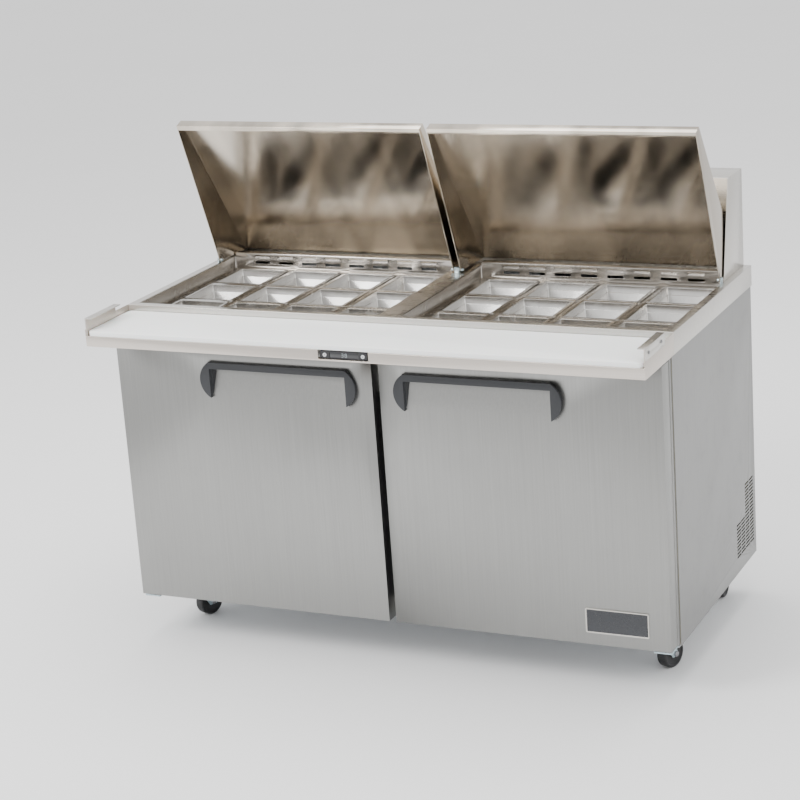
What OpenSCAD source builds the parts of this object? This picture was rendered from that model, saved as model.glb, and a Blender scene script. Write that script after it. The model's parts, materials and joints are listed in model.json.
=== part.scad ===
// Two-door refrigerated sandwich prep table on casters, with two open hood lids over two food wells.
// Millimetres. X is the width, -Y is the front, +Z is up, and the floor is Z = 0.

/* [Overall] */
// Width over the worktop
unit_w = 1530; // [1524:2:1540]
// Depth from the front strip to the back panel
unit_d = 890; // [884:2:900]
// Height of the worktop rim above the floor
worktop_h = 928; // [924:1:940]
// Height of the cabinet's underside, which is the caster height
caster_h = 115; // [114:1:117]
// Height of the rear cowl above the floor
cowl_h = 1190; // [1180:1:1205]
// Thickness of the outer sheet metal
skin = 2; // [1.5:0.5:2]

/* [Doors] */
// Gap between the two doors
door_gap = 20; // [16:1:24]
// Thickness of a door
door_t = 50; // [48:1:50]
// Width of a handle trim
handle_w = 452; // [420:2:460]
// Height of a handle trim
handle_h = 97; // [90:1:100]

/* [Lids] */
// How far each lid is tipped back from closed
lid_open = 68.5; // [60:0.5:70]
// Reach of a closed lid in front of its hinge
lid_reach = 453; // [450:1:455]
// Height of a closed lid's rear edge above its hinge
lid_rise = 146; // [140:1:150]

/* [Wells] */
// Width of a sixth-size pan over its rim
pan_w = 162; // [160:1:163]
// Length of a sixth-size pan over its rim
pan_l = 176; // [174:1:176]
// Depth of a pan
pan_d = 100; // [65:5:105]
// Spacing of the pan columns
pan_pitch = 170; // [168:0.5:170]
// How deep the pan rims lie below the worktop
pan_drop = 36; // [30:1:40]

/* [Cutting board] */
// Width of the board
board_w = 1518; // [1500:2:1518]
// Depth of the board
board_d = 214; // [200:2:214]
// Thickness of the board
board_t = 12.7; // [12:0.1:14]

/* [Casters] */
// Radius of a caster wheel
wheel_r = 39; // [36:0.5:39]
// Width of a caster wheel
wheel_w = 28; // [24:1:30]
// How far the front casters are swivelled at rest
front_swivel = 20; // [0:5:40]

/* [Hidden] */
$fn = 48;
half_w = unit_w / 2;
front_y = -unit_d / 2;
back_y = unit_d / 2;
// Heights of the top: rim bottom, shelf top, top of the shelf's ends
rim_h = 56;
rim_z = worktop_h - rim_h;
shelf_z = rim_z + 28;
arm_z = rim_z + 45;
bracket_z = rim_z + 75;
// Plan lines of the cabinet
cab_x = half_w - 3;
cab_front = front_y + 194;
cab_back = back_y - 2;
riser_y = front_y + 218;
foam_x = cab_x - skin;
cabinet_top = rim_z - 4;
// Doors
door_out = half_w - 5;
door_in = door_gap / 2;
door_front = front_y + 132;
door_back = door_front + door_t;
door_z0 = caster_h + 12;
door_z1 = rim_z - 6;
door_pin_x = door_out - 15;
door_pin_y = door_front + 22;
pin_r = 4;
bush_gap = 0.05;
frame_front = door_back + 8;
// Front frame: its outer edge and the two openings
frame_x = foam_x - 10;
strip_d = 8;
open_x0 = 32;
open_x1 = 706;
open_z0 = caster_h + 56;
open_z1 = caster_h + 625;
// Storage compartment
liner_x = 712;
liner_back = 215;
liner_z0 = caster_h + 50;
liner_z1 = caster_h + 632;
foam_top = caster_h + 660;
// Food wells
well_x0 = 30;
well_x1 = 742;
well_y0 = front_y + 240;
well_y1 = well_y0 + 3 * pan_l + 8;
rim_pan_z = worktop_h - pan_drop;
pan_x0 = (well_x0 + well_x1) / 2 - 2 * pan_pitch;
// Lids
lid_x0 = 10;
lid_x1 = 740;
lid_pin_y = front_y + 690;
lid_pin_z = worktop_h + 8;
lid_back = 62;
lid_lip = 22;
// Casters
caster_x = 680;
caster_ys = [front_y + 300, front_y + 785];
caster_trail = 30;
axle_r = 5;

// A block from its lowest corner to its highest corner.
module block(lo, hi) {
    translate(lo) cube(hi - lo);
}

// Draws its children on the left (-1) or the right (1) half; they are made for the right.
module on_side(side) {
    if (side > 0) children();
    else mirror([1, 0, 0]) children();
}

// A cylinder along X between two planes.
module rod_x(x0, x1, y, z, r) {
    translate([x0, y, z]) rotate([0, 90, 0]) cylinder(h = x1 - x0, r = r);
}

// A cylinder along Y between two planes.
module rod_y(x, y0, y1, z, r) {
    translate([x, y0, z]) rotate([-90, 0, 0]) cylinder(h = y1 - y0, r = r);
}

// An outline drawn in the Y-Z plane, given thickness from x0 to x1.
module side_plate(x0, x1, points) {
    translate([x0, 0, 0]) rotate([90, 0, 90]) linear_extrude(height = x1 - x0) polygon(points);
}

// ---------------------------------------------------------------- cabinet

// A tall side panel with a stepped field of fine vent slots low at the back.
module side_panel() {
    slot_w = 36;
    slot_h = 5;
    pitch_y = 41;
    pitch_z = 10;
    difference() {
        block([cab_x - skin, cab_front + strip_d + 4, caster_h], [cab_x, cab_back, cabinet_top + 2]);
        for (column = [0:3], row = [0:(column < 2 ? 9 : 18)])
            translate([cab_x - skin - 1, cab_back - 180 + column * pitch_y, caster_h + 43 + row * pitch_z])
                cube([skin + 2, slot_w, slot_h]);
    }
}

// The removable rear panel: louvre slots low down over the machine space.
module back_panel() {
    color("silver") difference() {
        block([-cab_x + skin, cab_back - skin, caster_h], [cab_x - skin, cab_back, cabinet_top + 2]);
        for (row = [0:11], column = [0:7])
            block([-620 + column * 160, cab_back - 3, caster_h + 40 + row * 28],
                  [-500 + column * 160, cab_back + 1, caster_h + 50 + row * 28]);
        rod_y(-foam_x + 60, cab_back - 3, cab_back + 1, caster_h + 60, 8);
    }
}

module base_panel() {
    color("silver") block([-foam_x, cab_front, caster_h], [foam_x, cab_back - skin, caster_h + 3]);
}

// The inner box of the storage compartment, open at the front.
module cabinet_liner() {
    color("gainsboro") difference() {
        block([-liner_x - 2, cab_front + 12, liner_z0 - 2], [liner_x + 2, liner_back + 2, liner_z1 + 2]);
        block([-liner_x, cab_front + 11, liner_z0], [liner_x, liner_back, liner_z1]);
    }
}

// Foam between the liner and the outer panels, and round the food wells.
module foam_insulation() {
    color("khaki") difference() {
        union() {
            block([-foam_x, cab_front + 12, caster_h + 3], [foam_x, liner_back + 30, foam_top]);
            block([-foam_x, cab_front + 12, foam_top - 20], [foam_x, cab_back - skin, foam_top]);
            block([-foam_x, cab_front + 12, foam_top], [foam_x, well_y1 + 8, worktop_h - skin]);
        }
        block([-liner_x - 2, cab_front + 11, liner_z0 - 2], [liner_x + 2, liner_back + 2, liner_z1 + 2]);
        block([-well_x1 - 2, well_y0 - 2, foam_top + 0.5], [well_x1 + 2, well_y1 + 9, worktop_h]);
        block([-half_w, cab_front + 11, rim_z - 3], [half_w, riser_y + 3, worktop_h]);
    }
}

// The face frame round the whole front: an outer strip beside each door, and a thin flange behind
// a narrow groove out to each side panel.
module front_frame() {
    color("lightgray") difference() {
        union() {
            block([-frame_x, frame_front, caster_h + 7], [frame_x, cab_front + 12, cabinet_top]);
            block([-foam_x, frame_front, caster_h + 7], [foam_x, cab_front + strip_d, cabinet_top]);
            block([-foam_x, cab_front + 11, caster_h + 3], [foam_x, cab_front + 12, cabinet_top]);
        }
        block([-open_x1, frame_front - 1, open_z0], [open_x1, cab_front + 13, open_z1]);
    }
}

// The post between the two door openings.
module mullion() {
    color("dimgray") block([-open_x0, frame_front, open_z0], [open_x0, cab_front + 12, open_z1]);
}

// ---------------------------------------------------------------- worktop

// The pressed top: two well cut-outs, a front riser and skirts at the sides and back.
module worktop() {
    color("lightgray") difference() {
        block([-half_w, riser_y, rim_z], [half_w, back_y, worktop_h]);
        block([-half_w + skin, riser_y + skin, rim_z - 1], [half_w - skin, back_y - skin, worktop_h - skin]);
        for (side = [-1, 1])
            on_side(side)
                block([well_x0, well_y0, rim_z], [well_x1, well_y1, worktop_h + 1]);
    }
}

// The cutting-board shelf: a tray with a front strip, raised ends and a notch for the controller.
module front_shelf() {
    notch_x0 = -88;
    notch_x1 = 50;
    color("tan") difference() {
        union() {
            block([-half_w, front_y, shelf_z - skin], [half_w, riser_y, shelf_z]);
            block([-half_w, front_y, rim_z], [half_w, front_y + skin, shelf_z]);
            block([-half_w, front_y, rim_z], [half_w, front_y + 26, rim_z + skin]);
            for (side = [-1, 1])
                on_side(side) {
                    side_plate(half_w - skin, half_w, [
                        [front_y, rim_z], [riser_y, rim_z], [riser_y, worktop_h],
                        [front_y + 152, worktop_h], [front_y + 152, arm_z], [front_y, arm_z]
                    ]);
                    block([half_w - 2 * skin, front_y + 4, shelf_z], [half_w - skin, front_y + 150,
                          bracket_z - skin]);
                }
        }
        block([notch_x0, front_y - 1, rim_z + 4], [notch_x1, front_y + 20, shelf_z + 1]);
    }
}

bracket_screw_ys = [30, 124];

// Angle brackets on the shelf's ends; their top flanges turn in over the board.
module shelf_brackets() {
    color("silver") for (side = [-1, 1])
        on_side(side) difference() {
            union() {
                block([half_w - skin, front_y + 4, arm_z], [half_w, front_y + 150, bracket_z]);
                block([half_w - 20, front_y + 4, bracket_z - skin], [half_w, front_y + 150, bracket_z]);
            }
            for (y = bracket_screw_ys)
                rod_x(half_w - skin - 1, half_w + 1, front_y + y, arm_z + 15, 2.5);
        }
}

// Four pan-head screws, two through each bracket.
module bracket_screws() {
    color("dimgray") for (side = [-1, 1], y = bracket_screw_ys)
        on_side(side) {
            rod_x(half_w, half_w + 1.5, front_y + y, arm_z + 15, 4.5);
            rod_x(half_w - skin, half_w + 1, front_y + y, arm_z + 15, 2.4);
        }
}

// The white board lies loose on the shelf, under the brackets' flanges, and slides out forwards.
module cutting_board() {
    color("white") block([-board_w / 2, front_y + 1, shelf_z],
                         [board_w / 2, front_y + 1 + board_d, shelf_z + board_t]);
}

// The cowl behind the lids: raked sides, a top, a back and a short front lip.
module rear_cowl() {
    low_y = front_y + 706;
    high_y = front_y + 762;
    color("silver") {
        for (side = [-1, 1])
            on_side(side) side_plate(743, 745, [
                [low_y, worktop_h], [back_y - 2, worktop_h], [back_y - 2, cowl_h], [high_y, cowl_h]
            ]);
        block([-743, high_y, cowl_h - skin], [743, back_y - 2, cowl_h]);
        block([-743, back_y - 4, worktop_h], [743, back_y - 2, cowl_h - skin]);
        block([-743, high_y, cowl_h - 90], [743, high_y + skin, cowl_h - skin]);
    }
}

// ---------------------------------------------------------------- food wells

// One open-topped well with a ledge round its inside that carries the pans and bars.
module well() {
    wall = 2;
    color("lightgray") difference() {
        union() {
            difference() {
                block([well_x0, well_y0, foam_top + 2], [well_x1, well_y1, worktop_h - skin]);
                block([well_x0 + wall, well_y0 + wall, foam_top + 4],
                      [well_x1 - wall, well_y1 - wall, worktop_h]);
            }
            block([well_x0 + 1, well_y0 + 1, rim_pan_z - 4], [well_x1 - 1, well_y1 - 1, rim_pan_z]);
        }
        block([pan_x0 + 6, well_y0 + 8, rim_pan_z - 5], [pan_x0 + 4 * pan_pitch - 6, well_y1 - 8,
              rim_pan_z + 1]);
        block([well_x0 + 20, well_y1 - 3, rim_pan_z + 8], [well_x1 - 20, well_y1 + 1, worktop_h - 5]);
    }
}

// The slotted plate at the back of a well that the cold air comes through.
module air_duct() {
    slot_pitch = 75;
    first = (well_x0 + well_x1) / 2 - 3.5 * slot_pitch;
    color("lightgray") difference() {
        union() {
            block([well_x0 + 6, well_y1 - 4, rim_pan_z], [well_x1 - 8, well_y1 - 2, worktop_h + 10]);
            block([well_x0 + 6, well_y1 - 4, worktop_h + 8], [well_x1 - 8, well_y1 + 18,
                  worktop_h + 10]);
        }
        for (column = [0:7], row = [0, 1])
            block([first + column * slot_pitch - 23, well_y1 - 5, rim_pan_z + 15 + row * 17],
                  [first + column * slot_pitch + 23, well_y1 - 1, rim_pan_z + 23 + row * 17]);
    }
}

// Three bars in each well between the pan columns.
module pan_bars() {
    color("gray") for (side = [-1, 1], column = [1:3])
        on_side(side) block([pan_x0 + column * pan_pitch - 10, well_y0 + 8, rim_pan_z - 10],
                            [pan_x0 + column * pan_pitch + 10, well_y1 - 8, rim_pan_z]);
}

// One open pan: a flat rim on a straight-sided body.
module pan() {
    rim_t = 1.5;
    inset = 11;
    wall = 1.5;
    color("gainsboro") difference() {
        union() {
            block([-pan_w / 2 + 0.5, -pan_l / 2 + 0.5, 0], [pan_w / 2 - 0.5, pan_l / 2 - 0.5, rim_t]);
            block([-pan_w / 2 + inset, -pan_l / 2 + inset, -pan_d], [pan_w / 2 - inset, pan_l / 2 - inset,
                  rim_t]);
        }
        block([-pan_w / 2 + inset + wall, -pan_l / 2 + inset + wall, wall - pan_d],
              [pan_w / 2 - inset - wall, pan_l / 2 - inset - wall, rim_t + 1]);
    }
}

// The twelve pans of one well.
module pans() {
    for (column = [0:3], row = [0:2])
        translate([pan_x0 + (column + 0.5) * pan_pitch, well_y0 + 2 + (row + 0.5) * pan_l, rim_pan_z])
            pan();
}

// ---------------------------------------------------------------- lids

// A hood lid, drawn closed about its hinge: a sloping panel, two wedge sides and a front lip.
module lid() {
    bottom = -6;
    outline = [[0, bottom], [-lid_reach, bottom], [-lid_reach, lid_lip], [lid_back, lid_rise]];
    inner = [[20, bottom - 1], [-lid_reach + skin, bottom - 1], [-lid_reach + skin, lid_lip - 1.4],
             [lid_back + 4, lid_rise - 0.9], [lid_back + 14, lid_rise - 40]];
    color("silver") translate([0, lid_pin_y, lid_pin_z]) rotate([-lid_open, 0, 0]) difference() {
        union() {
            difference() {
                side_plate(lid_x0, lid_x1, outline);
                side_plate(lid_x0 + skin, lid_x1 - skin, inner);
            }
            block([lid_x0 + 1, -lid_reach + 1, bottom], [lid_x1 - 1, -lid_reach + 14, bottom + skin]);
        }
        rod_x(lid_x0 - 1, lid_x0 + 4, 0, 0, pin_r + bush_gap);
        rod_x(lid_x1 - 4, lid_x1 + 1, 0, 0, pin_r + bush_gap);
    }
}

// Lid hinge brackets: one outside each lid and one between them, each with its pin.
module lid_hinges() {
    color("dimgray") {
        for (side = [-1, 1])
            on_side(side) {
                block([lid_x1 + 1, lid_pin_y - 8, worktop_h], [lid_x1 + 5, lid_pin_y + 8, lid_pin_z + 7]);
                rod_x(lid_x1 - 8, lid_x1 + 3, lid_pin_y, lid_pin_z, pin_r);
            }
        block([-lid_x0 + 3, lid_pin_y - 8, worktop_h], [lid_x0 - 3, lid_pin_y + 8, lid_pin_z + 7]);
        rod_x(-lid_x0 - 8, lid_x0 + 8, lid_pin_y, lid_pin_z, pin_r);
    }
}

// ---------------------------------------------------------------- controller

ctrl_x0 = -84;
ctrl_x1 = 46;
ctrl_y = front_y + 4;

// The controller's body behind the notch in the front strip, bored for its two keys.
module controller_case() {
    color("dimgray") difference() {
        block([ctrl_x0, ctrl_y, rim_z + 5], [ctrl_x1, ctrl_y + 14, shelf_z - 3]);
        block([ctrl_x0 + 26, ctrl_y - 1, rim_z + 8], [ctrl_x1 - 24, ctrl_y + 3, shelf_z - 6]);
        for (x = [ctrl_x0 + 13, ctrl_x1 - 12])
            rod_y(x, ctrl_y - 1, ctrl_y + 8, rim_z + 15, 5.3);
    }
}

module display_window() {
    color("black") block([ctrl_x0 + 26, ctrl_y + 1, rim_z + 8], [ctrl_x1 - 24, ctrl_y + 3, shelf_z - 6]);
}

// A round push key.
module controller_key(x) {
    color("white") rod_y(x, ctrl_y - 1.5, ctrl_y + 6, rim_z + 15, 5);
}

// ---------------------------------------------------------------- doors

// A door's outer tray, bent in along a sloping finger pocket under the handle bar.
module door_skin() {
    pocket_x0 = handle_x0() + 29;
    pocket_x1 = handle_x0() + handle_w - 29;
    top = handle_z0() + handle_h - 4;
    pocket = [[door_front - 1, handle_z0() + 6], [door_front, handle_z0() + 9], [door_front + 38, top],
              [door_front - 1, top]];
    color("silver") difference() {
        union() {
            difference() {
                block([door_in, door_front, door_z0], [door_out, door_back, door_z1]);
                block([door_in + skin, door_front + skin, door_z0 + skin],
                      [door_out - skin, door_back + 1, door_z1 - skin]);
            }
            side_plate(pocket_x0 - skin, pocket_x1 + skin, [
                [door_front, handle_z0() + 4], [door_front + 40, top + skin], [door_front, top + skin]
            ]);
        }
        side_plate(pocket_x0, pocket_x1, pocket);
        for (z = [door_z0 - 1, door_z1 - 4])
            translate([door_pin_x, door_pin_y, z]) cylinder(h = 5, r = pin_r + bush_gap);
    }
}

function handle_x0() = door_in + 43;
function handle_z0() = rim_z - 159;

// The pan that closes the back of a door, with a raised centre.
module door_liner() {
    color("gainsboro") union() {
        block([door_in + skin, door_back - 3, door_z0 + skin], [door_out - skin, door_back, door_z1 - skin]);
        block([open_x0 + 18, door_back, open_z0 + 19], [open_x1 - 16, door_back + 12, open_z1 - 19]);
    }
}

// The magnetic seal round the door's back.
module door_gasket() {
    color("dimgray") difference() {
        block([open_x0 - 17, door_back, open_z0 - 28], [open_x1 + 38, frame_front, open_z1 + 26]);
        block([open_x0 - 1, door_back - 1, open_z0 - 12], [open_x1 + 22, frame_front + 1, open_z1 + 10]);
    }
}

// The dark trim: a grip bar, a rounded cap at each end, and a wall that closes each end of the pocket.
module door_handle() {
    cap_w = 29;
    wall_t = 2;
    top = handle_z0() + handle_h - 4;
    cap_r = (handle_h * handle_h / 4 + cap_w * cap_w) / (2 * cap_w);
    bar_h = 18;
    color("darkslategray") {
        block([handle_x0() + cap_w - 2, door_front - 12, handle_z0() + handle_h - bar_h],
              [handle_x0() + handle_w - cap_w + 2, door_front, handle_z0() + handle_h]);
        for (x = [handle_x0() + cap_w, handle_x0() + handle_w - cap_w - wall_t])
            side_plate(x, x + wall_t, [
                [door_front - 1, handle_z0() + 9.5], [door_front, handle_z0() + 9.5],
                [door_front + 37, top - 0.5], [door_front - 1, top - 0.5]
            ]);
        for (flip = [0, 1])
            translate([handle_x0() + handle_w / 2, door_front, handle_z0() + handle_h / 2])
                mirror([flip, 0, 0]) rotate([90, 0, 0]) linear_extrude(height = 12) intersection() {
                    translate([handle_w / 2 - cap_r, 0]) circle(r = cap_r, $fn = 96);
                    translate([handle_w / 2 - cap_w, -handle_h / 2]) square([cap_w, handle_h]);
                }
    }
}

// A plain rectangular plate low on the right door.
module door_badge() {
    color("black") block([door_out - 222, door_front - 3, door_z0 + 32],
                         [door_out - 55, door_front, door_z0 + 98]);
}

// Top and bottom pivot plates for both doors, each with its pin.
module door_hinges() {
    color("steelblue") for (side = [-1, 1])
        on_side(side) {
            block([door_pin_x - 33, door_pin_y - 14, caster_h + 3], [door_pin_x + 13, cab_front + 4,
                  caster_h + 7]);
            translate([door_pin_x, door_pin_y, caster_h + 5]) cylinder(h = 18, r = pin_r);
            block([door_pin_x - 33, door_pin_y - 14, cabinet_top], [door_pin_x + 13, cab_front + 4,
                  cabinet_top + 4]);
            translate([door_pin_x, door_pin_y, door_z1 - 12]) cylinder(h = 16, r = pin_r);
        }
}

// ---------------------------------------------------------------- shelves

shelf_z0 = caster_h + 330;
shelf_y0 = cab_front + 34;
shelf_y1 = liner_back - 20;

// Slotted posts on the compartment walls, with the clips that carry the shelves.
module shelf_posts() {
    color("silver") for (side = [-1, 1], y = [shelf_y0 + 40, shelf_y1 - 40])
        on_side(side) {
            block([liner_x - 6, y - 10, liner_z0 + 20], [liner_x, y + 10, liner_z1 - 20]);
            block([liner_x - 18, y - 8, shelf_z0 - 5], [liner_x - 6, y + 8, shelf_z0 - 2]);
            block([8, y - 10, liner_z0], [14, y + 10, liner_z1]);
            block([14, y - 8, shelf_z0 - 5], [26, y + 8, shelf_z0 - 2]);
        }
}

// A wire shelf: a frame of four rods, cross wires and two runners.
module wire_shelf() {
    x0 = 20;
    x1 = liner_x - 12;
    frame_r = 3;
    wire_r = 1.5;
    color("white") {
        for (y = [shelf_y0, shelf_y1]) rod_x(x0, x1, y, shelf_z0 + 1.2, frame_r);
        for (x = [x0 + 3, x1 - 3]) rod_y(x, shelf_y0, shelf_y1, shelf_z0 + 1.2, frame_r);
        for (i = [1:17]) rod_y(x0 + i * (x1 - x0) / 18, shelf_y0, shelf_y1, shelf_z0 + 3, wire_r);
        for (i = [1:2])
            rod_x(x0, x1, shelf_y0 + i * (shelf_y1 - shelf_y0) / 3, shelf_z0 + 1, wire_r);
    }
}

// ---------------------------------------------------------------- cooling

machine_z = caster_h + 3;
coil_y = well_y1 + 14;
fan_x = 330;
fan_size = 130;
fan_z = foam_top + fan_size / 2;

// A finned coil between two end plates.
module finned_coil(lo, hi, fins) {
    block(lo, [lo[0] + 3, hi[1], hi[2]]);
    block([hi[0] - 3, lo[1], lo[2]], hi);
    for (i = [1:fins])
        block([lo[0] + i * (hi[0] - lo[0]) / (fins + 1), lo[1] + 2, lo[2] + 2],
              [lo[0] + i * (hi[0] - lo[0]) / (fins + 1) + 1.5, hi[1] - 2, hi[2] - 2]);
    for (z = [0.25, 0.5, 0.75])
        rod_x(lo[0], hi[0], (lo[1] + hi[1]) / 2, lo[2] + z * (hi[2] - lo[2]), 5);
}

module evaporator_coil() {
    color("silver") finned_coil([-560, coil_y, foam_top], [180, coil_y + 52, worktop_h - 14], 36);
}

// A fan frame: a square plate with a round mouth, three arms and the motor that carries the blades.
module fan_frame(size, depth, motor_r) {
    difference() {
        translate([-size / 2, 0, -size / 2]) cube([size, 3, size]);
        rod_y(0, -1, 4, 0, size / 2 - 8);
    }
    for (a = [45, 135, 225, 315])
        rotate([0, a, 0]) translate([motor_r - 4, 0.5, -3]) cube([size / 2 - motor_r + 4, 2, 6]);
    rod_y(0, 0, depth, 0, motor_r);
    rod_y(0, -14, depth / 2, 0, 3);
}

// Blades on a hub, bored for the motor's shaft.
module fan_blades(radius, blades) {
    chord = min(0.44 * radius, 28);
    difference() {
        union() {
            rod_y(0, -12, -3, 0, radius * 0.28);
            for (i = [0:blades - 1])
                rotate([0, i * 360 / blades, 0]) translate([radius * 0.24, -8, 0]) rotate([28, 0, 0])
                    translate([0, -0.8, -chord / 2]) cube([radius * 0.74, 1.6, chord]);
        }
        rod_y(0, -15, 0, 0, 3 + bush_gap);
    }
}

module evaporator_fan_frame() {
    color("dimgray") translate([fan_x, coil_y + 20, fan_z]) fan_frame(fan_size, 30, 20);
}

module evaporator_fan_blades() {
    color("black") translate([fan_x, coil_y + 20, fan_z]) fan_blades(54, 5);
}

// The hermetic compressor: a domed can on feet.
module compressor() {
    translate([-330, (liner_back + 30 + cab_back) / 2, machine_z]) color("black") {
        translate([0, 0, 22]) cylinder(h = 120, r = 72);
        translate([0, 0, 142]) intersection() {
            translate([0, 0, -60]) sphere(r = 94);
            cylinder(h = 40, r = 72);
        }
        for (x = [-70, 70], y = [-50, 50]) translate([x, y, 0]) cylinder(h = 16, r = 12);
        translate([-90, -66, 14]) cube([180, 132, 8]);
        translate([60, -25, 60]) cube([34, 50, 60]);
    }
}

condenser_y = liner_back + 60;
condenser_h = 240;

module condenser_coil() {
    color("silver") finned_coil([60, condenser_y, machine_z],
                                [360, condenser_y + 60, machine_z + condenser_h], 22);
}

module condenser_fan_shroud() {
    color("dimgray") translate([210, condenser_y + 88, machine_z + condenser_h / 2])
        fan_frame(condenser_h, 34, 32);
}

module condenser_fan_blades() {
    color("black") translate([210, condenser_y + 88, machine_z + condenser_h / 2]) fan_blades(104, 5);
}

// The grommet in the back panel that a power cord passes through.
module cord_gland() {
    color("black") difference() {
        union() {
            rod_y(-foam_x + 60, cab_back - 8, cab_back + 2, caster_h + 60, 7.9);
            rod_y(-foam_x + 60, cab_back, cab_back + 2, caster_h + 60, 12);
        }
        rod_y(-foam_x + 60, cab_back - 9, cab_back + 3, caster_h + 60, 4);
    }
}

// ---------------------------------------------------------------- casters

plate_t = 3;
stem_r = 9;
fork_top = caster_h - 22;
fork_drop = 3;
brake_y = 14;
brake_z = 2 * wheel_r + 8;

// Calls its children at a caster: column is -1 or 1, row is 0 at the front and 1 at the back.
// The front ones are swivelled.
module at_caster(column, row) {
    translate([column * caster_x, caster_ys[row], 0]) rotate([0, 0, row == 0 ? -front_swivel : 0])
        children();
}

// Four mounting plates, each with its raceway and king pin.
module caster_plates() {
    color("silver") for (column = [-1, 1], row = [0, 1])
        translate([column * caster_x, caster_ys[row], 0]) {
            translate([-47, -35, caster_h - plate_t]) cube([94, 70, plate_t]);
            translate([0, 0, fork_top + 2]) cylinder(h = 18, r = 24);
            translate([0, 0, fork_top - fork_drop]) cylinder(h = fork_drop + 3, r = stem_r);
        }
}

// A swivel fork with its axle; the wheel trails behind the king pin.
module caster_fork() {
    cheek = wheel_w / 2 + 2;
    color("slategray") difference() {
        union() {
            translate([0, 0, fork_top - fork_drop]) cylinder(h = fork_drop + 1.5, r = 25);
            for (s = [-1, 1])
                translate([s * (cheek + 1.25) - 1.25, 0, 0]) rotate([90, 0, 90])
                    linear_extrude(height = 2.5) polygon([
                        [-20, fork_top], [20, fork_top], [caster_trail + 12, wheel_r - 8],
                        [caster_trail - 12, wheel_r - 8]
                    ]);
            rod_x(-cheek - 6, cheek + 6, caster_trail, wheel_r, axle_r);
        }
        translate([0, 0, fork_top - 9]) cylinder(h = 12, r = stem_r + bush_gap);
    }
}

// A wheel with a tyre step and a bore for the axle.
module caster_wheel() {
    color("black") translate([0, caster_trail, wheel_r]) rotate([0, 90, 0]) difference() {
        cylinder(h = wheel_w, r = wheel_r, center = true, $fn = 96);
        for (s = [-1, 1])
            translate([0, 0, s * wheel_w / 2]) difference() {
                cylinder(h = 6, r = wheel_r - 9, center = true);
                cylinder(h = 7, r = 11, center = true);
            }
        cylinder(h = wheel_w + 1, r = axle_r + bush_gap, center = true);
    }
}

// The brake pedal above the wheel, pivoted across the fork.
module caster_brake() {
    pivot_r = 3;
    pedal_l = 74;
    color("steelblue") {
        block([-9, brake_y, brake_z - 3], [9, brake_y + pedal_l, brake_z + 1]);
        rod_x(-wheel_w / 2 - 1.8, wheel_w / 2 + 1.8, brake_y, brake_z, pivot_r);
    }
}

color("silver") on_side(-1) side_panel();  // side_panel_left
color("silver") on_side(1) side_panel();  // side_panel_right
back_panel();
base_panel();
cabinet_liner();
foam_insulation();
front_frame();
mullion();
worktop();
front_shelf();
shelf_brackets();
bracket_screws();
cutting_board();
rear_cowl();
on_side(-1) well();  // well_left
on_side(1) well();  // well_right
on_side(-1) air_duct();  // air_duct_left
on_side(1) air_duct();  // air_duct_right
pan_bars();
on_side(-1) pans();  // pans_left
on_side(1) pans();  // pans_right
on_side(-1) lid();  // lid_left
on_side(1) lid();  // lid_right
lid_hinges();
controller_case();
display_window();
controller_key(ctrl_x0 + 13);  // key_up
controller_key(ctrl_x1 - 12);  // key_down
on_side(-1) door_skin();  // door_left_skin
on_side(-1) door_liner();  // door_left_liner
on_side(-1) door_gasket();  // door_left_gasket
on_side(-1) door_handle();  // door_left_handle
on_side(1) door_skin();  // door_right_skin
on_side(1) door_liner();  // door_right_liner
on_side(1) door_gasket();  // door_right_gasket
on_side(1) door_handle();  // door_right_handle
door_badge();
door_hinges();
shelf_posts();
on_side(-1) wire_shelf();  // shelf_left
on_side(1) wire_shelf();  // shelf_right
evaporator_coil();
evaporator_fan_frame();
evaporator_fan_blades();
compressor();
condenser_coil();
condenser_fan_shroud();
condenser_fan_blades();
cord_gland();
caster_plates();
at_caster(-1, 0) caster_fork();  // caster_fork_front_left
at_caster(1, 0) caster_fork();  // caster_fork_front_right
at_caster(-1, 1) caster_fork();  // caster_fork_rear_left
at_caster(1, 1) caster_fork();  // caster_fork_rear_right
at_caster(-1, 0) caster_wheel();  // caster_wheel_front_left
at_caster(1, 0) caster_wheel();  // caster_wheel_front_right
at_caster(-1, 1) caster_wheel();  // caster_wheel_rear_left
at_caster(1, 1) caster_wheel();  // caster_wheel_rear_right
at_caster(-1, 0) caster_brake();  // caster_brake_left
at_caster(1, 0) caster_brake();  // caster_brake_right
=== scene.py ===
"""Looks for the refrigerated sandwich prep table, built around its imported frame.

Each sub-assembly is a class. It copies or replaces the frame's plain parts with finished pieces, gives
every piece a procedural finish, and puts it on the body that carries it.
"""

from __future__ import annotations

import json
import logging
import math
from dataclasses import dataclass, field
from enum import Enum
from typing import Callable, Iterable, Sequence

import bmesh
import bpy
from mathutils import Matrix, Vector

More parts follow.
